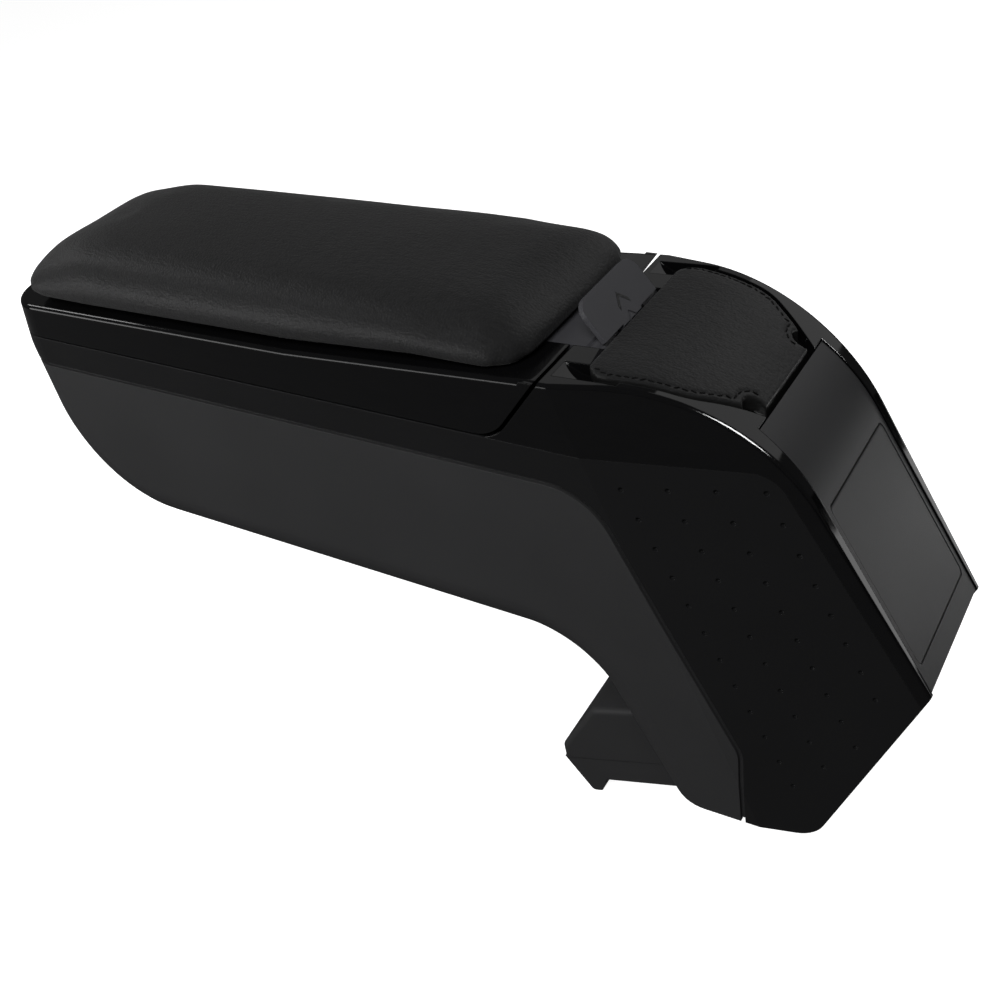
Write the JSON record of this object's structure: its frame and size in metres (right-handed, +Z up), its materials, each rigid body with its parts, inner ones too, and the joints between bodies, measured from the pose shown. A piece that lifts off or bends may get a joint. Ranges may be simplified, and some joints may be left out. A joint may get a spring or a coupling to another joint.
{
  "type": "car centre armrest",
  "caption": "Car centre armrest on a leaning column: padded lid hinged over a storage box, gloss cap with a leather flap, tapered sides and a wedge foot.",
  "frame": {"origin": "on the foot's flat underside, midway across its width", "axes": "+X rearward along the arm, +Y to the right side, +Z up with the arm level"},
  "size_m": [0.5029, 0.112, 0.314],
  "materials": {
    "shell_plastic": "fine grained, matte",
    "gloss_black": "polished",
    "satin_plastic": "satin",
    "leatherette": "grained, soft sheen",
    "board": "plain",
    "mat_rubber": "plain",
    "grey_plastic": "satin",
    "steel": "plain"
  },
  "bodies": {
    "column": {"lower_shell": "shell_plastic", "upper_shell": "shell_plastic", "saddle_trim": "gloss_black", "rear_panel": "satin_plastic", "rear_inset": "satin_plastic", "flap": "leatherette", "storage_bin": "shell_plastic", "bin_mat": "mat_rubber", "bin_screws": "steel", "hinge_pin": "steel", "pin_washers": "steel", "spine": "steel", "spine_bolts": "steel", "foot_cover": "satin_plastic", "foot_plug": "satin_plastic", "foot_screws": "steel"},
    "lid": {"lid_frame": "gloss_black", "lid_pad": "leatherette", "pad_board": "board", "lid_liner": "shell_plastic", "liner_screws": "steel", "lid_bumpers": "mat_rubber", "hinge_arm": "grey_plastic", "hinge_screws": "steel"},
    "tab": {"release_tab": "grey_plastic", "tab_springs": "steel"}
  },
  "joints": [
    {"name": "lid_hinge", "type": "hinge", "parent": "column", "child": "lid", "pos_m": [-0.012, 0, 0.2626], "axis": [0, 1, 0], "range_deg": [0, 55]},
    {"name": "tab_press", "type": "hinge", "parent": "lid", "child": "tab", "pos_m": [-0.012, 0, 0.2626], "axis": [0, 1, 0], "range_deg": [-12, 0], "stiffness_Nm_per_rad": 0.05, "springref_deg": 11.46}
  ]
}
